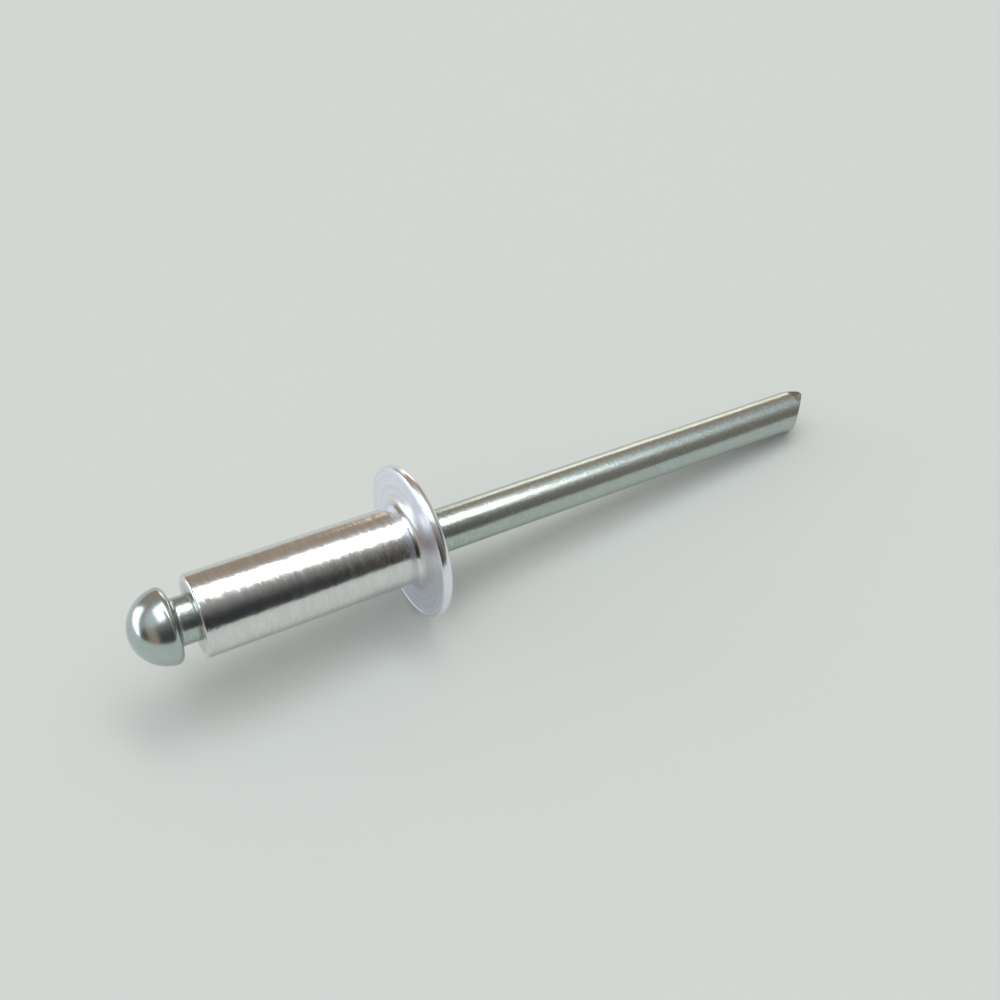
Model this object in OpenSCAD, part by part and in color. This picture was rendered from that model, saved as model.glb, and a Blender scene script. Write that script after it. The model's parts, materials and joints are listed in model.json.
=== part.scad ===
// Open-end blind rivet before it is set: a hollow aluminium rivet on its headed steel mandrel.
// Both pieces are turned about one axis. It lies as it comes to rest on a table, on the rim of its
// flange and on the cut tip of the mandrel, so the axis slopes down towards the tip and the mandrel's
// head is in the air. Millimetres, +Z up, +X towards the tip, origin under the middle on the table.

/* [Rivet body] */
// Outer diameter of the shank
shank_d = 4.8; // [3.2:0.1:6.4]
// Length of the shank, from its blind end to the underside of the flange
shank_len = 12.85; // [6:0.05:30]
// Radius of the outer edge at the blind end
end_round = 0.16; // [0.05:0.01:0.3]
// Radial clearance of the bore around the mandrel's stem
bore_clearance = 0.075; // [0.03:0.005:0.12]
// Chamfer at both ends of the bore
bore_chamfer = 0.1; // [0.02:0.01:0.15]

/* [Flange] */
// Diameter of the flange
flange_d = 9.4; // [8.4:0.1:14]
// Height of the straight side of the rim, above the underside
rim_h = 0.3; // [0.2:0.05:1]
// Radius of the shoulder between the rim and the dome
rim_round = 0.42; // [0.2:0.02:0.6]
// Radius of the edge between the rim and the underside
under_round = 0.12; // [0.04:0.01:0.18]
// Radius of the dome on the outer side of the flange
dome_r = 28; // [14:1:80]
// Radius of the fillet between the shank and the underside of the flange
fillet_r = 0.5; // [0.1:0.05:0.6]

/* [Mandrel] */
// Diameter of the stem
stem_d = 2.7; // [1.8:0.05:2.9]
// How far the stem stands out of the dome, tip included
stem_out = 29.6; // [15:0.5:50]
// Diameter of the ball at the front of the head
head_d = 4.38; // [4.2:0.02:6]
// Length of the head behind the centre of its ball
head_back = 0.23; // [0.1:0.01:1.2]
// Radius of the head's back corner
head_corner = 0.4; // [0.1:0.02:0.6]
// Space between the back of the head and the blind end of the shank
head_gap = 1.12; // [0.3:0.01:4]
// Radius of the fillet between the head and the stem
neck_fillet = 0.28; // [0.05:0.01:0.6]

/* [Inside the bore] */
// Distance from the blind end to the middle of the break notch
notch_depth_in = 2.4; // [1:0.1:4]
// Radial depth of the break notch
notch_cut = 0.34; // [0.1:0.02:0.5]
// Radius of the rounded bottom of the break notch
notch_round = 0.42; // [0.36:0.02:0.8]
// Length of the grip ring that holds the mandrel in the bore
grip_len = 1.4; // [0.6:0.1:3]
// Length of the taper at each end of the grip ring
grip_taper = 0.6; // [0.55:0.05:1.5]
// Radial clearance left between the grip ring and the bore
grip_clearance = 0.01; // [0.005:0.005:0.02]

/* [Cut tip] */
// Angle of each cut face to the axis
cut_angle = 48; // [30:1:60]
// Width of the blunt edge between the two cut faces
edge_w = 0.28; // [0.06:0.02:0.6]
// How far the ends of the edge are squeezed out past the stem
edge_lip = 0.09; // [0.02:0.01:0.2]
// Length over which the squeezed ends run out into the stem
lip_len = 0.75; // [0.2:0.05:1.2]
// Bevel at the corners of the edge
edge_bevel = 0.08; // [0.02:0.01:0.15]

/* [Hidden] */
$fn = 96;
joint_overlap = 0.01;

// Rivet body, measured along its axis from the blind end
shank_r = shank_d / 2;
stem_r = stem_d / 2;
bore_r = stem_r + bore_clearance;
flange_r = flange_d / 2;
shoulder_r = flange_r - rim_round;
shoulder_z = shank_len + rim_h;
dome_z = shoulder_z - sqrt((dome_r - rim_round) ^ 2 - shoulder_r ^ 2);
dome_edge_angle = atan2(shoulder_r, shoulder_z - dome_z);
dome_edge_r = dome_r * sin(dome_edge_angle);
bore_top_z = dome_z + sqrt(dome_r ^ 2 - bore_r ^ 2);

// Mandrel
head_r = head_d / 2;
head_back_z = -head_gap;
ball_z = head_back_z - head_back;
corner_z = head_back_z - head_corner;
corner_r = sqrt((head_r - head_corner) ^ 2 - (corner_z - ball_z) ^ 2);
ball_end_z = ball_z + (corner_z - ball_z) * head_r / (head_r - head_corner);
tip_z = bore_top_z + stem_out;
edge_r = stem_r + edge_lip;
cut_len = (stem_r - edge_w / 2) / tan(cut_angle);
cut_z = tip_z - cut_len;
wedge_w = 4 * edge_r;
wedge_z = tip_z - (wedge_w - edge_w) / 2 / tan(cut_angle);
grip_r = bore_r - grip_clearance;
grip_z = bore_top_z - grip_taper - grip_len;

// Rest: the table is tangent to the shoulder of the rim and touches the end of the cut edge
touch_z = tip_z - edge_bevel;
rest_run = touch_z - shoulder_z;
rest_drop = shoulder_r - edge_r;
tilt = atan2(rest_drop, rest_run) + asin(rim_round / norm([rest_run, rest_drop]));
axis_h = touch_z * sin(tilt) + edge_r * cos(tilt);
low_x = ball_z * cos(tilt) - head_r;
high_x = tip_z * cos(tilt) + (edge_r - edge_bevel) * sin(tilt);

// Puts a shape built along +Z from the blind end where the resting rivet has it. The half turn brings
// the seams of the round faces to the top, away from the line that lies on the table.
module at_rest() {
    translate([-(low_x + high_x) / 2, 0, axis_h])
        rotate([0, 90 + tilt, 0])
            rotate(180)
                children();
}

// Strip of a turned profile from the axis out to r, between two heights
module strip(r, z0, z1) {
    translate([0, z0])
        square([r, z1 - z0]);
}

// Inside corner of radius r, to be added where a wall at x meets a face at z, on the side of -z
module inside_corner(x, z, r) {
    difference() {
        translate([x - joint_overlap, z - r])
            square([r + joint_overlap, r + joint_overlap]);
        translate([x + r, z - r])
            circle(r);
    }
}

// Shank with its rounded blind end
module shank_profile() {
    strip(shank_r, end_round, shank_len + joint_overlap);
    strip(shank_r - end_round, 0, shank_len);
    translate([shank_r - end_round, end_round])
        circle(end_round);
}

// Flange: flat underside, rounded rim, shallow dome
module flange_profile() {
    strip(flange_r, shank_len + under_round, shoulder_z);
    strip(flange_r - under_round, shank_len, shoulder_z);
    translate([flange_r - under_round, shank_len + under_round])
        circle(under_round);
    intersection() {
        strip(2 * flange_r, shank_len + under_round, shoulder_z + rim_round);
        translate([shoulder_r, shoulder_z])
            circle(rim_round);
    }
    intersection() {
        strip(dome_edge_r, shank_len, dome_z + dome_r);
        translate([0, dome_z])
            circle(dome_r, $fn = 720);
    }
}

// Bore with a chamfer at its blind end and at the dome
module bore_profile() {
    strip(bore_r, -1, bore_top_z + 1);
    polygon([[0, -1], [bore_r + bore_chamfer + 1, -1], [bore_r, bore_chamfer], [0, bore_chamfer]]);
    translate([0, bore_top_z])
        polygon([[0, -bore_chamfer], [bore_r, -bore_chamfer], [bore_r + bore_chamfer + 1, 1], [0, 1]]);
}

module rivet_body() {
    color([0.80, 0.80, 0.83])
        at_rest()
            rotate_extrude()
                difference() {
                    union() {
                        shank_profile();
                        flange_profile();
                        inside_corner(shank_r, shank_len, fillet_r);
                    }
                    bore_profile();
                }
}

// Head: ball front, flat back with a rounded corner
module head_profile() {
    intersection() {
        strip(head_r, ball_z - head_r, ball_end_z);
        translate([0, ball_z])
            circle(head_r);
    }
    strip(corner_r, ball_end_z, head_back_z);
    translate([corner_r, corner_z])
        circle(head_corner);
}

// Stem up to the cut, with the fillet at the head, the break notch and the grip ring
module stem_profile() {
    difference() {
        strip(stem_r, head_back_z - joint_overlap, cut_z);
        translate([stem_r - notch_cut + notch_round, notch_depth_in])
            circle(notch_round);
    }
    mirror([0, 1])
        inside_corner(stem_r, -head_back_z, neck_fillet);
    polygon([
        [0, grip_z - grip_taper],
        [stem_r, grip_z - grip_taper],
        [grip_r, grip_z],
        [grip_r, grip_z + grip_len],
        [stem_r, bore_top_z],
        [0, bore_top_z]
    ]);
}

// Chisel tip left by the cutter: two flat faces meet in a blunt edge whose ends stand proud
module cut_tip() {
    intersection() {
        rotate_extrude()
            polygon([
                [0, cut_z - joint_overlap],
                [stem_r, cut_z - joint_overlap],
                [stem_r, tip_z - lip_len],
                [edge_r, tip_z - edge_bevel],
                [edge_r - edge_bevel, tip_z],
                [0, tip_z]
            ]);
        rotate([90, 0, 90])
            linear_extrude(height = 4 * edge_r, center = true)
                polygon([
                    [-wedge_w / 2, wedge_z],
                    [wedge_w / 2, wedge_z],
                    [edge_w / 2, tip_z],
                    [-edge_w / 2, tip_z]
                ]);
    }
}

module mandrel() {
    color([0.52, 0.59, 0.57])
        at_rest() {
            rotate_extrude() {
                head_profile();
                stem_profile();
            }
            cut_tip();
        }
}

rivet_body();
mandrel();
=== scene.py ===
"""Looks of an open-end blind rivet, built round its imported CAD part.

Both pieces are turned surfaces about one axis. They lie where the part's own mounts say: the shank's
mount gives the blind end and the radius of the shank, the seat's gives the underside of the flange, and
the stem's gives the dome and the start of the cut tip. Lengths are in metres.
"""
import json
import math

import bpy
import numpy as np
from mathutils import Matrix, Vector


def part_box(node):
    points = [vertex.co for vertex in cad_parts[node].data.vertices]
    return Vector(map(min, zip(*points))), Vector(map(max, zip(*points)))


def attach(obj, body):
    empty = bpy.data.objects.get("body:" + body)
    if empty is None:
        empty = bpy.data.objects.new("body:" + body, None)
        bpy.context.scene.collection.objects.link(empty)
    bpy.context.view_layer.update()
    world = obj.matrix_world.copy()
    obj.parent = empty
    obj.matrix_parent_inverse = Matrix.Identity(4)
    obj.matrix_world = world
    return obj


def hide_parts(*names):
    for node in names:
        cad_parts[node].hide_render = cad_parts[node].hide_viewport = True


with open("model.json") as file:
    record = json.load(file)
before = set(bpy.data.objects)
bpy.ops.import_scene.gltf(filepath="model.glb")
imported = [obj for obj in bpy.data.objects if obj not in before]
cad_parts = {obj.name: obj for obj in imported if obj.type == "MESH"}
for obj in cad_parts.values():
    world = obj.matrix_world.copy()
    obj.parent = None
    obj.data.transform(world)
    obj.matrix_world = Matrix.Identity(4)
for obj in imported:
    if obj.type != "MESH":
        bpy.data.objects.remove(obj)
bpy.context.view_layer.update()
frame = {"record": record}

bl_info = {
    "name": "Pop rivet",
    "version": (1, 0, 0),
    "blender": (4, 5, 0),
    "location": "View3D > Sidebar > Pop rivet",
    "description": "Turns the body and the mandrel of a blind rivet, finishes them and sets up the stage",
    "category": "Add Mesh",
}

MM = 0.001
MOUNTS = {mount["name"]: mount for mount in frame["record"]["mounts"]}
BODY_COLOUR, MANDREL_COLOUR = (m["base_color"] for m in frame["record"]["materials"])


def mount_line(name):
    """Middle, radius and half length of a round mount's wall, in metres."""
    mount = MOUNTS[name]
    return np.array(mount["pos_m"]), mount["dims"]["r_mm"] * MM, mount["dims"]["length_mm"] * MM / 2


# Axis of the rivet, from the head to the tip, and the two directions across it
AXIS = np.array(MOUNTS["mandrel_stem"]["axis"])
SIDE = np.array([0.0, 1.0, 0.0])
UP = np.cross(AXIS, SIDE)
TILT = math.asin(-AXIS[2])

# Sizes that the mounts and boxes of the frame give
END_ROUND = 0.16 * MM
SHANK_MIDDLE, SHANK_R, SHANK_HALF = mount_line("body_shank")
STEM_MIDDLE, STEM_R, STEM_HALF = mount_line("mandrel_stem")
BLIND_END = SHANK_MIDDLE - (SHANK_HALF + END_ROUND) * AXIS
SHANK_LEN = float((np.array(MOUNTS["flange_seat"]["pos_m"]) - BLIND_END) @ AXIS)
DOME_TOP = float((STEM_MIDDLE - BLIND_END) @ AXIS) - STEM_HALF
CUT_START = DOME_TOP + 2 * STEM_HALF
FLANGE_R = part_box("rivet_body")[1].y


def length(name, description, default):
    """A size that a user may change, shown as a distance."""
    return bpy.props.FloatProperty(
        name=name, description=description, default=default, min=0.0, precision=5, unit="LENGTH")


def colour(name, description, default):
    """A colour that a user may change."""
    return bpy.props.FloatVectorProperty(
        name=name, description=description, default=default, min=0.0, max=1.0, size=3, subtype="COLOR")


class BodySizes(bpy.types.PropertyGroup):
    """Sizes and finish of the rivet body."""

    shank_d: length("Shank diameter", "Outer diameter of the shank", 2 * SHANK_R)
    shank_len: length("Shank length", "From the blind end to the underside of the flange", SHANK_LEN)
    end_round: length("End rounding", "Radius of the outer edge at the blind end", END_ROUND)
    bore_d: length("Bore diameter", "Diameter of the bore round the stem", 2 * STEM_R + 0.15 * MM)
    bore_chamfer: length("Bore chamfer", "Chamfer at both ends of the bore", 0.1 * MM)
    flange_d: length("Flange diameter", "Diameter of the flange", 2 * FLANGE_R)
    rim_h: length("Rim height", "Height of the straight side of the rim above the underside", 0.3 * MM)
    rim_round: length("Rim rounding", "Radius of the shoulder between the rim and the dome", 0.42 * MM)
    under_round: length("Under rounding", "Radius of the edge between the rim and the underside", 0.12 * MM)
    dome_r: length("Dome radius", "Radius of the dome on the outer side of the flange", 28 * MM)
    fillet_r: length("Fillet", "Radius of the fillet between the shank and the flange", 0.5 * MM)
    metal: colour("Shank", "Colour of the drawn aluminium on the shank", (0.80, 0.80, 0.785))
    # Painted sheen: the flange is coloured paler and bluer than the shank to stand in for the pale lavender light it
    # reflects.
    flange: colour("Flange", "Colour of the softer aluminium on the flange", (0.90, 0.92, 0.985))
    dents: length("Dents", "Depth of the shallow dents that the shank picks up in the box", 0.007 * MM)


class MandrelSizes(bpy.types.PropertyGroup):
    """Sizes and finish of the mandrel."""

    stem_d: length("Stem diameter", "Diameter of the stem", 2 * STEM_R)
    head_d: length("Head diameter", "Diameter of the ball at the front of the head", 4.379 * MM)
    head_gap: length("Head gap", "Space between the back of the head and the blind end", 1.12 * MM)
    head_back: length("Head back", "Length of the head behind the centre of its ball", 0.23 * MM)
    head_corner: length("Head corner", "Radius of the head's back corner", 0.4 * MM)
    neck_fillet: length("Neck fillet", "Radius of the fillet between the head and the stem", 0.28 * MM)
    notch_in: length("Notch place", "From the blind end to the middle of the break notch", 2.4 * MM)
    notch_cut: length("Notch depth", "Radial depth of the break notch", 0.34 * MM)
    notch_round: length("Notch rounding", "Radius of the rounded bottom of the break notch", 0.42 * MM)
    edge_w: length("Edge width", "Width of the blunt edge between the two cut faces", 0.28 * MM)
    edge_lip: length("Edge lip", "How far the ends of the edge are squeezed out past the stem", 0.08 * MM)
    lip_len: length("Lip length", "Length over which the squeezed ends run out into the stem", 0.75 * MM)
    cut_soft: length("Cut rounding", "Rounding of the edges that the cutter leaves", 0.09 * MM)
    cut_angle: bpy.props.FloatProperty(
        name="Cut angle", description="Angle of each cut face to the axis",
        default=math.radians(48), min=0.3, max=1.4, subtype="ANGLE")
    zinc: colour("Zinc", "Colour of the zinc plating", (0.53, 0.595, 0.57))
    steel: colour("Cut steel", "Colour of the bare steel on the cut faces", (0.17, 0.16, 0.135))


class StageSettings(bpy.types.PropertyGroup):
    """Camera, floor and light."""

    camera: bpy.props.FloatVectorProperty(
        name="Camera", description="Place of the camera", size=3, subtype="TRANSLATION",
        default=(-0.02327, -0.03882, 0.05369), precision=5)
    aim: bpy.props.FloatVectorProperty(
        name="Aim", description="Direction in which the camera looks", size=3, subtype="DIRECTION",
        default=(0.34000, 0.58633, -0.73616), precision=5)
    lens: bpy.props.FloatProperty(
        name="Lens", description="Focal length for a sensor 36 mm wide", default=39.24, min=1.0)
    floor: colour("Floor", "Colour of the plain floor and of the backdrop", (0.648, 0.682, 0.642))
    panel: bpy.props.FloatProperty(
        name="Panel", description="Brightness of the soft panel over the rivet", default=11.2, min=0.0)
    fill: bpy.props.FloatProperty(
        name="Fill", description="Share of the floor's light that comes evenly from all sides", default=0.45,
        min=0.0, max=1.0, subtype="FACTOR")


class Wire:
    """One output socket of a node tree. Sums, differences, products and quotients of it add Math nodes."""

    def __init__(self, tree, socket):
        self.tree, self.socket = tree, socket

    def math(self, operation, *others, clamp=False):
        """The Math node of that operation on this value and the others."""
        settings = {"operation": operation, "use_clamp": clamp}
        return self.tree.node("ShaderNodeMath", settings, {i: v for i, v in enumerate((self, *others))})

    def __add__(self, other):
        return self.math("ADD", other)

    def __sub__(self, other):
        return self.math("SUBTRACT", other)

    def __rsub__(self, other):
        return self.tree.node("ShaderNodeMath", {"operation": "SUBTRACT"}, {0: other, 1: self})

    def __mul__(self, other):
        return self.math("MULTIPLY", other)

    def __truediv__(self, other):
        return self.math("DIVIDE", other)

    def __pow__(self, other):
        return self.math("POWER", other)

    __radd__ = __add__
    __rmul__ = __mul__

    def step(self, low, high):
        """0 below low and 1 above high, or the other way round if low is the larger, smooth between."""
        sockets = {"Value": self, "From Min": min(low, high), "From Max": max(low, high),
                   "To Min": float(low > high), "To Max": float(low < high)}
        return self.tree.node("ShaderNodeMapRange", {"interpolation_type": "SMOOTHSTEP"}, sockets)

    def between(self, low, high, soft):
        """1 between low and high, and 0 outside, with an edge that is soft wide on each side."""
        return self.step(low - soft, low + soft) * self.step(high + soft, high - soft)


class Tree:
    """A node tree that is filled from expressions."""

    def __init__(self, owner):
        owner.use_nodes = True
        self.tree = owner.node_tree
        self.tree.nodes.clear()

    def node(self, kind, settings=None, sockets=None, output=0):
        """A node of that kind: its settings first, then the values or wires of its sockets."""
        node = self.tree.nodes.new(kind)
        for name, value in (settings or {}).items():
            setattr(node, name, value)
        for name, value in (sockets or {}).items():
            if isinstance(value, Wire):
                self.tree.links.new(value.socket, node.inputs[name])
            else:
                node.inputs[name].default_value = value
        return Wire(self, node.outputs[output])

    def mix(self, factor, one, other):
        """Colour one where factor is 0, other where it is 1."""
        settings = {"data_type": "RGBA"}
        sockets = {0: factor, 6: self.rgba(one), 7: self.rgba(other)}
        return self.node("ShaderNodeMix", settings, sockets, output=2)

    def rgba(self, value):
        """A colour's three numbers with an alpha of 1, or a wire as it is."""
        return value if isinstance(value, Wire) else (*value, 1.0)

    def parts(self, vector):
        """The three numbers of a vector."""
        node = self.node("ShaderNodeSeparateXYZ", None, {0: vector})
        return [Wire(self, output) for output in node.socket.node.outputs]

    def vector(self, x, y, z):
        """A vector of three numbers."""
        return self.node("ShaderNodeCombineXYZ", None, {0: x, 1: y, 2: z})

    def noise(self, vector, scale, detail=2.0, rough=0.5):
        """Soft noise from 0 to 1, with scale in patches per unit of the vector."""
        sockets = {"Vector": vector, "Scale": scale, "Detail": detail, "Roughness": rough}
        return self.node("ShaderNodeTexNoise", None, sockets)

    def output(self, kind, shader):
        """Connects the shader to the tree's output."""
        node = self.tree.nodes.new(kind)
        self.tree.links.new(shader.socket, node.inputs["Surface"])


def axis_place(tree):
    """Place of the shaded point in millimetres: along the axis from the blind end, sideways and up."""
    place = tree.node("ShaderNodeTexCoord", output=3)
    sockets = {"Vector": place, "Location": BLIND_END, "Rotation": (0.0, TILT, 0.0), "Scale": (MM, MM, MM)}
    return tree.node("ShaderNodeMapping", {"vector_type": "TEXTURE"}, sockets)


def metal(name, metallic, finish):
    """A metal whose colour, roughness and height in millimetres come from the finish's function."""
    material = bpy.data.materials.new(name)
    tree = Tree(material)
    tint, rough, height = finish(tree, axis_place(tree))
    normal = tree.node("ShaderNodeBump", None, {"Strength": 1.0, "Distance": MM, "Height": height})
    sockets = {"Base Color": tint, "Metallic": metallic, "Roughness": rough, "Normal": normal}
    tree.output("ShaderNodeOutputMaterial", tree.node("ShaderNodeBsdfPrincipled", None, sockets))
    return material


def aluminium(sizes):
    """Finish of the body: rings round the shank and on the flange, shallow dents, a rubbed blind end whose face
    carries painted shade towards the bore, and a flange coloured paler and bluer as painted sheen.
    """
    def finish(tree, place):
        along, side, up = tree.parts(place)
        radius = (side * side + up * up).math("SQRT")
        turn = up.math("ARCTAN2", side)
        flange = radius.step(SHANK_R / MM + 0.2, SHANK_R / MM + 0.6)
        under = flange * along.step(SHANK_LEN / MM + 0.1, SHANK_LEN / MM)
        end = along.step(0.1, 0.03)
        corner = radius.between(SHANK_R / MM + 0.08, FLANGE_R / MM - 0.16, 0.06)
        rings = tree.noise(tree.vector(along * 3.2, turn * 0.9, 0.0), 1.0, 3.0, 0.6)
        bands = tree.noise(tree.vector(along * 1.7, turn * 1.8, 0.0), 1.0, 3.0, 0.55)
        lathe = tree.noise(tree.vector(radius * 6.0, turn * 0.12, along * 0.5), 1.0, 2.0, 0.6)
        grain = tree.noise(place, 6.5, 2.0, 0.6)
        rubbed = along.step(1.7, 0.3)
        lips = radius.between(4.45, 4.48, 0.06) * 0.08 + radius.between(4.14, 4.18, 0.05) * 0.022
        drawn = rings * 0.0017 + bands * 0.021 + tree.noise(place, 0.85, 1.0, 0.4) * (sizes.dents / MM)
        turned = lathe * 0.0022 + under * lips
        height = (1.0 - flange) * drawn + flange * turned + grain * (0.0026 + rubbed * 0.004)
        cloud = tree.noise(place, 1.3, 3.0, 0.55)
        rough = 0.15 + cloud * 0.07 + corner * 0.2 + (under + end) * 0.05
        shank = tree.mix(rings.step(0.38, 0.6), sizes.metal, tuple(c * 0.9 for c in sizes.metal))
        shank = tree.mix(grain.step(0.36, 0.6), tuple(c * 0.92 for c in sizes.metal), shank)
        # The flange's paler, bluer colour is painted sheen; the lathe rings darken it at random.
        face = tree.mix(lathe.step(0.35, 0.65), sizes.flange, tuple(c * 0.91 for c in sizes.flange))
        # Painted shade: the blind end's face is darkened to olive grey towards the bore, next to the neck.
        painted_end_shade = tree.mix(radius.step(2.2, 1.85), sizes.metal, (0.55, 0.57, 0.53))
        return tree.mix(end, tree.mix(flange, shank, face), painted_end_shade), rough, height
    return metal("drawn_aluminium", 1.0, finish)


def zinc_plate(sizes):
    """Finish of the mandrel: zinc over drawn wire, with streaks along the stem and bare cut faces, whose dark steel
    also covers the squeezed ends as painted shade.
    """
    def finish(tree, place):
        along, side, up = tree.parts(place)
        radius = (side * side + up * up).math("SQRT")
        turn = up.math("ARCTAN2", side)
        face = along.step(CUT_START / MM - 0.1, CUT_START / MM) * radius.step(STEM_R / MM - 0.03, STEM_R / MM - 0.1)
        # Bare steel on the squeezed ends of the edge, reaching over the tip's upper corner as painted shade.
        lip_steel_and_shade = along.step(CUT_START / MM + 0.25, CUT_START / MM + 0.5) * side.math("ABSOLUTE").step(0.75, 0.45)
        cut = face.math("MAXIMUM", lip_steel_and_shade)
        ball = along.step(-1.0, -1.4)
        streaks = tree.noise(tree.vector(along * 0.22, turn * 9.0, 0.0), 1.0, 3.0, 0.6)
        waves = tree.noise(tree.vector(along * 0.6, side * 0.5, up * 0.5), 1.0, 1.0, 0.4)
        grain = tree.noise(place, 6.5, 3.0, 0.6)
        height = (1.0 - ball) * streaks * 0.006 + waves * 0.014 + grain * (0.008 - ball * 0.006)
        cloud = tree.noise(place, 1.6, 3.0, 0.6)
        plate = tree.mix(cloud.step(0.3, 0.75), sizes.zinc, tuple(c * 0.9 for c in sizes.zinc))
        plate = tree.mix(grain.step(0.38, 0.6).math("MAXIMUM", ball * 0.7), tuple(c * 0.84 for c in sizes.zinc), plate)
        rough = 0.14 + cloud * 0.1 + cut * 0.25 + streaks * (1.0 - ball) * 0.06
        return tree.mix(cut, plate, sizes.steel), rough, height
    return metal("zinc_plated_steel", 0.93, finish)


def arc(centre_r, centre_z, radius, start, end, count):
    """Points of a circle's arc in the half plane of the profile, at even angles in degrees."""
    angle = np.radians(np.linspace(start, end, count))
    return np.stack([centre_r + radius * np.cos(angle), centre_z + radius * np.sin(angle)], 1)


def line(r0, z0, r1, z1, count):
    """Points of a straight stretch of the profile, closer together at both ends."""
    share = (1 - np.cos(np.linspace(0, math.pi, count))) / 2
    return np.stack([r0 + (r1 - r0) * share, z0 + (z1 - z0) * share], 1)


def body_profile(s):
    """Closed profile of the body: end face, shank, fillet, underside, rim, dome and bore, as lines and arcs."""
    shank_r, bore_r, flange_r = s.shank_d / 2, s.bore_d / 2, s.flange_d / 2
    shoulder_r, shoulder_z = flange_r - s.rim_round, s.shank_len + s.rim_h
    dome_z = shoulder_z - math.sqrt((s.dome_r - s.rim_round) ** 2 - shoulder_r ** 2)
    edge = math.degrees(math.atan2(shoulder_z - dome_z, shoulder_r))
    mouth = math.degrees(math.acos((bore_r + s.bore_chamfer) / s.dome_r))
    top = dome_z + s.dome_r * math.sin(math.radians(mouth))
    return np.concatenate([
        line(bore_r + s.bore_chamfer, 0, shank_r - s.end_round, 0, 10)[:-1],
        arc(shank_r - s.end_round, s.end_round, s.end_round, -90, 0, 9),
        line(shank_r, s.end_round, shank_r, s.shank_len - s.fillet_r, 40)[1:-1],
        arc(shank_r + s.fillet_r, s.shank_len - s.fillet_r, s.fillet_r, 180, 90, 14),
        line(shank_r + s.fillet_r, s.shank_len, flange_r - s.under_round, s.shank_len, 16)[1:-1],
        arc(flange_r - s.under_round, s.shank_len + s.under_round, s.under_round, -90, 0, 9),
        line(flange_r, s.shank_len + s.under_round, flange_r, shoulder_z, 5)[1:-1],
        arc(shoulder_r, shoulder_z, s.rim_round, 0, edge, 18)[:-1],
        arc(0, dome_z, s.dome_r, edge, mouth, 24),
        line(bore_r, top - s.bore_chamfer, bore_r, s.bore_chamfer, 12),
    ])


def head_profile(s):
    """Profile of the head and neck, from the ball's front over the corner to the fillet on the stem."""
    head_r, stem_r = s.head_d / 2, s.stem_d / 2
    back = -s.head_gap
    ball = back - s.head_back
    corner_z = back - s.head_corner
    reach = head_r - s.head_corner
    lean = math.degrees(math.asin((corner_z - ball) / reach))
    corner_r = reach * math.cos(math.radians(lean))
    return np.concatenate([
        arc(0, ball, head_r, -90, lean, 44)[1:-1],
        arc(corner_r, corner_z, s.head_corner, lean, 90, 14),
        line(corner_r, back, stem_r + s.neck_fillet, back, 6)[1:-1],
        arc(stem_r + s.neck_fillet, back + s.neck_fillet, s.neck_fillet, 270, 180, 10),
    ])


def stem_profile(s, end):
    """Profile of the stem from the neck to near the cut, with the break notch as an arc cut into it."""
    stem_r = s.stem_d / 2
    hub_r = stem_r - s.notch_cut + s.notch_round
    lean = math.degrees(math.acos((hub_r - stem_r) / s.notch_round))
    half = s.notch_round * math.sin(math.radians(lean))
    return np.concatenate([
        line(stem_r, s.neck_fillet - s.head_gap, stem_r, s.notch_in - half, 10)[1:-1],
        arc(hub_r, s.notch_in, s.notch_round, 180 + lean, 180 - lean, 12),
        line(stem_r, s.notch_in + half, stem_r, end, 60)[1:],
    ])


def cut_tip(s, start, turn):
    """Radius and height of the tip for each turn angle: side, rounded corner and cut face in one run.

    A cut face falls from the blunt edge by its distance past the edge over the tangent of the cut angle.
    The side bulges towards the ends of the edge, and a quadratic curve rounds the corner between them.
    """
    stem_r, slope = s.stem_d / 2, 1 / math.tan(s.cut_angle)
    tip = CUT_START + (stem_r - s.edge_w / 2) * slope
    soft = s.cut_soft / 2

    def face(radius):
        """Height of the cut faces at a distance from the axis, with a softened ridge."""
        past = np.abs(radius * np.cos(turn)) - s.edge_w / 2
        return tip - slope * (past + np.sqrt(past ** 2 + soft ** 2)) / 2

    def side(height):
        """Radius of the bulging side at a height."""
        share = np.clip((height - tip + s.lip_len) / s.lip_len, 0, 1)
        return stem_r + s.edge_lip * share ** 2

    corner_r = np.full_like(turn, stem_r)
    for _ in range(6):
        corner_r = side(face(corner_r))
    corner_z = face(corner_r)
    low = corner_z - s.cut_soft
    share = np.linspace(0, 1, 14)[1:, None]
    wall_z = start + (low - start) * share
    wall_r = side(wall_z)
    t = np.linspace(0, 1, 8)[1:, None]
    inner_r = corner_r - s.cut_soft
    round_r = (1 - t) ** 2 * side(low) + 2 * t * (1 - t) * corner_r + t ** 2 * inner_r
    round_z = (1 - t) ** 2 * low + 2 * t * (1 - t) * corner_z + t ** 2 * face(inner_r)
    face_r = inner_r * (1 - np.linspace(0, 1, 34)[1:-1, None])
    return np.concatenate([wall_r, round_r, face_r]), np.concatenate([wall_z, round_z, face(face_r)]), tip


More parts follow.
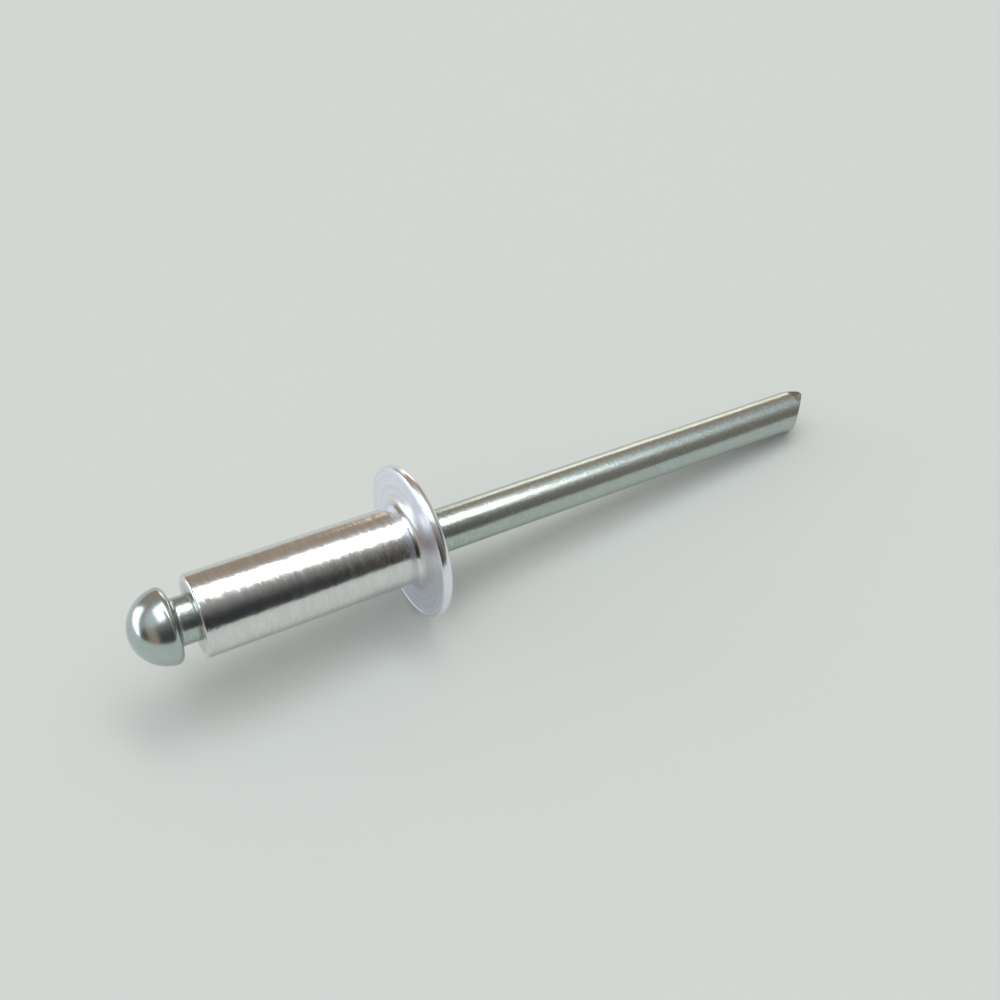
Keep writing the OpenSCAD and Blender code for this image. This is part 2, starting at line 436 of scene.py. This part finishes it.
def turned_mesh(name, radius, height, turn, closed, ends=None):
    """Mesh of a surface of revolution whose rows give radius and height for each turn angle.

    A point lies at the blind end plus height along the axis plus radius across it, sideways times the
    cosine and upwards times the sine of the turn. A closed profile joins its last row to its first, and
    an open one ends in a pole on the axis at each of the two end heights.
    """
    rows, columns = radius.shape
    across = np.cos(turn)[None, :, None] * SIDE + np.sin(turn)[None, :, None] * UP
    points = (BLIND_END + height[..., None] * AXIS + radius[..., None] * across).reshape(-1, 3)
    row = np.arange(rows if closed else rows - 1)[:, None] * columns
    column = np.arange(columns)[None, :]
    following = (column + 1) % columns
    above = (row + columns) % (rows * columns)
    quads = np.stack([row + column, row + following, above + following, above + column], -1).reshape(-1, 4)
    faces = quads.tolist()
    if not closed:
        poles = BLIND_END + np.array(ends)[:, None] * AXIS
        points = np.concatenate([points, poles])
        ring, first = np.arange(columns), rows * columns
        last = (rows - 1) * columns
        faces += np.stack([np.full(columns, first), (ring + 1) % columns, ring], 1).tolist()
        faces += np.stack([last + ring, last + (ring + 1) % columns, np.full(columns, first + 1)], 1).tolist()
    mesh = bpy.data.meshes.new(name)
    mesh.from_pydata(points.tolist(), [], faces)
    mesh.shade_smooth()
    mesh.update()
    return mesh


def add_piece(name, mesh, material, node):
    """Puts a finished mesh into the scene in place of its CAD node, riding on the part's one body."""
    mesh.materials.append(material)
    piece = bpy.data.objects.new(name, mesh)
    bpy.context.scene.collection.objects.link(piece)
    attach(piece, "root")
    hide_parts(node)
    return piece


class RIVET_OT_body(bpy.types.Operator):
    """Turn the aluminium body with its shank, flange and bore"""

    bl_idname = "rivet.body"
    bl_label = "Rivet body"

    def execute(self, context):
        sizes = context.scene.rivet_body
        profile = body_profile(sizes)
        turn = np.linspace(0, 2 * math.pi, 288, endpoint=False)
        radius, height = (np.repeat(profile[:, k:k + 1], len(turn), axis=1) for k in (0, 1))
        mesh = turned_mesh("body_surface", radius, height, turn, closed=True)
        add_piece("turned_body", mesh, aluminium(sizes), "rivet_body")
        return {"FINISHED"}


class RIVET_OT_mandrel(bpy.types.Operator):
    """Turn the zinc-plated mandrel with its head, stem and cut tip"""

    bl_idname = "rivet.mandrel"
    bl_label = "Mandrel"

    def execute(self, context):
        sizes = context.scene.rivet_mandrel
        start = CUT_START - 0.5 * MM
        profile = np.concatenate([head_profile(sizes), stem_profile(sizes, start)])
        turn = np.linspace(0, 2 * math.pi, 288, endpoint=False)
        radius, height = (np.repeat(profile[:, k:k + 1], len(turn), axis=1) for k in (0, 1))
        tip_r, tip_z, tip = cut_tip(sizes, start, turn)
        apex = -sizes.head_gap - sizes.head_back - sizes.head_d / 2
        radius, height = np.concatenate([radius, tip_r]), np.concatenate([height, tip_z])
        centre = tip - sizes.cut_soft * 0.02
        mesh = turned_mesh("mandrel_surface", radius, height, turn, closed=False, ends=(apex, centre))
        add_piece("turned_mandrel", mesh, zinc_plate(sizes), "mandrel")
        return {"FINISHED"}


class RIVET_OT_stage(bpy.types.Operator):
    """Set up the camera, the plain floor and the soft light"""

    bl_idname = "rivet.stage"
    bl_label = "Stage"

    def execute(self, context):
        settings = context.scene.rivet_stage
        place_camera(context.scene, settings)
        lay_floor(context.scene, settings)
        light_room(context.scene, settings)
        context.scene.view_settings.view_transform = "Standard"
        return {"FINISHED"}


def place_camera(scene, settings):
    """Camera at the photograph's viewing angle, level, with the principal point in the middle."""
    data = bpy.data.cameras.new("camera")
    data.sensor_width = 36.0
    data.lens = settings.lens
    data.clip_start = MM
    data.clip_end = 20.0
    camera = bpy.data.objects.new("camera", data)
    camera.location = settings.camera
    camera.rotation_euler = Vector(settings.aim).to_track_quat("-Z", "Y").to_euler()
    scene.collection.objects.link(camera)
    scene.camera = camera


def lay_floor(scene, settings):
    """Plain level floor under the rivet, a round sheet whose rim is far outside every view."""
    turn = np.linspace(0, 2 * math.pi, 96, endpoint=False)
    rim = np.stack([3.0 * np.cos(turn), 3.0 * np.sin(turn), np.zeros_like(turn)], 1)
    mesh = bpy.data.meshes.new("floor_surface")
    mesh.from_pydata(rim.tolist(), [], [list(range(len(turn)))])
    material = bpy.data.materials.new("plain_floor")
    tree = Tree(material)
    sockets = {"Base Color": (*settings.floor, 1.0), "Roughness": 0.75, "Specular IOR Level": 0.3}
    tree.output("ShaderNodeOutputMaterial", tree.node("ShaderNodeBsdfPrincipled", None, sockets))
    mesh.materials.append(material)
    floor = bpy.data.objects.new("floor", mesh)
    scene.collection.objects.link(floor)


def light_room(scene, settings):
    """Soft room light by direction: a panel overhead, warm grey walls and a dark side behind the camera."""
    world = bpy.data.worlds.new("soft_room")
    scene.world = world
    tree = Tree(world)
    x, y, z = tree.parts(tree.node("ShaderNodeTexCoord", output=0))
    rise = z.math("ARCTAN2", y * -1.0) * (180 / math.pi)
    swing = x.math("ARCSINE") * (180 / math.pi)
    left, right = swing.step(-32.0, -44.0), swing.step(16.0, 34.0)
    wall = tree.mix(right, (0.020, 0.022, 0.027), (0.235, 0.198, 0.160))
    wall = tree.mix(left, wall, (0.40, 0.27, 0.215))
    wall = tree.mix(swing.step(45.0, 53.0), wall, (0.03, 0.026, 0.022))
    wall = tree.mix(rise.step(24.0, 97.0), wall, (0.48, 0.49, 0.47))
    near = rise.between(66.0, 120.0, 12.0) * swing.between(-50.0, 0.0, 12.0)
    far = rise.between(64.0, 98.0, 10.0) * swing.between(31.0, 46.0, 5.0)
    wall = tree.mix(near + far, wall, (0.70, 0.72, 0.74))
    wall = tree.mix(swing.step(-60.0, -70.0) * rise.step(112.0, 90.0), wall, (0.045, 0.045, 0.05))
    warm = tree.mix(right, (0.350, 0.285, 0.230), (0.350, 0.250, 0.162))
    wall = tree.mix(rise.step(98.0, 150.0), wall, warm)
    past = (swing - 12.0).math("MAXIMUM", 0.0)
    low, high = (rise + past * 1.6).step(87.0, 114.0), (rise + past * past * 0.08).step(126.0, 100.0)
    panel = low * high * swing.between(-10.0, 30.0, 8.0)
    bright = settings.panel * (0.3 + swing.step(0.0, 10.0) * 0.7)
    shade = tree.node("ShaderNodeVectorMath", {"operation": "SCALE"}, {0: (1.0, 1.0, 0.99), 3: bright})
    light = tree.mix(panel, wall, shade)
    opening = swing.between(-22.0, -3.0, 4.0) * rise.between(70.0, 112.0, 7.0)
    light = tree.mix(opening, light, (2.8, 2.95, 3.3))
    window = swing.between(-88.0, -32.0, 5.0) * rise.between(143.0, 190.0, 9.0)
    light = tree.mix(window, light, (3.2, 3.6, 4.2))
    cream = swing.between(22.0, 46.0, 5.0) * rise.between(160.0, 182.0, 4.0)
    light = tree.mix(cream, light, (2.1, 1.9, 1.62))
    seen, glossy = tree.node("ShaderNodeLightPath"), tree.node("ShaderNodeLightPath", output=3)
    light = tree.mix((1.0 - glossy) * settings.fill, light, (0.96, 0.96, 1.0))
    light = tree.mix(seen, light, tuple(settings.floor))
    tree.output("ShaderNodeOutputWorld", tree.node("ShaderNodeBackground", None, {"Color": light, "Strength": 1.0}))


class RIVET_PT_build(bpy.types.Panel):
    """Buttons that build the rivet, and its main sizes"""

    bl_label = "Pop rivet"
    bl_idname = "RIVET_PT_build"
    bl_space_type = "VIEW_3D"
    bl_region_type = "UI"
    bl_category = "Pop rivet"

    def draw(self, context):
        for operator, group in STEPS:
            box = self.layout.box()
            box.operator(operator.bl_idname)
            settings = getattr(context.scene, group)
            for name in settings.bl_rna.properties.keys():
                if name not in ("rna_type", "name"):
                    box.prop(settings, name)


GROUPS = {"rivet_stage": StageSettings, "rivet_body": BodySizes, "rivet_mandrel": MandrelSizes}
STEPS = ((RIVET_OT_stage, "rivet_stage"), (RIVET_OT_body, "rivet_body"), (RIVET_OT_mandrel, "rivet_mandrel"))
CLASSES = (*GROUPS.values(), *(operator for operator, _ in STEPS), RIVET_PT_build)


def register():
    """Registers the classes and puts the settings on the scene."""
    for cls in CLASSES:
        bpy.utils.register_class(cls)
    for name, group in GROUPS.items():
        setattr(bpy.types.Scene, name, bpy.props.PointerProperty(type=group))


def unregister():
    """Takes the settings and the classes away again."""
    for name in GROUPS:
        delattr(bpy.types.Scene, name)
    for cls in reversed(CLASSES):
        bpy.utils.unregister_class(cls)


def main():
    """Builds the stage and both pieces."""
    register()
    bpy.ops.rivet.stage()
    bpy.ops.rivet.body()
    bpy.ops.rivet.mandrel()


if __name__ == "__main__":
    main()
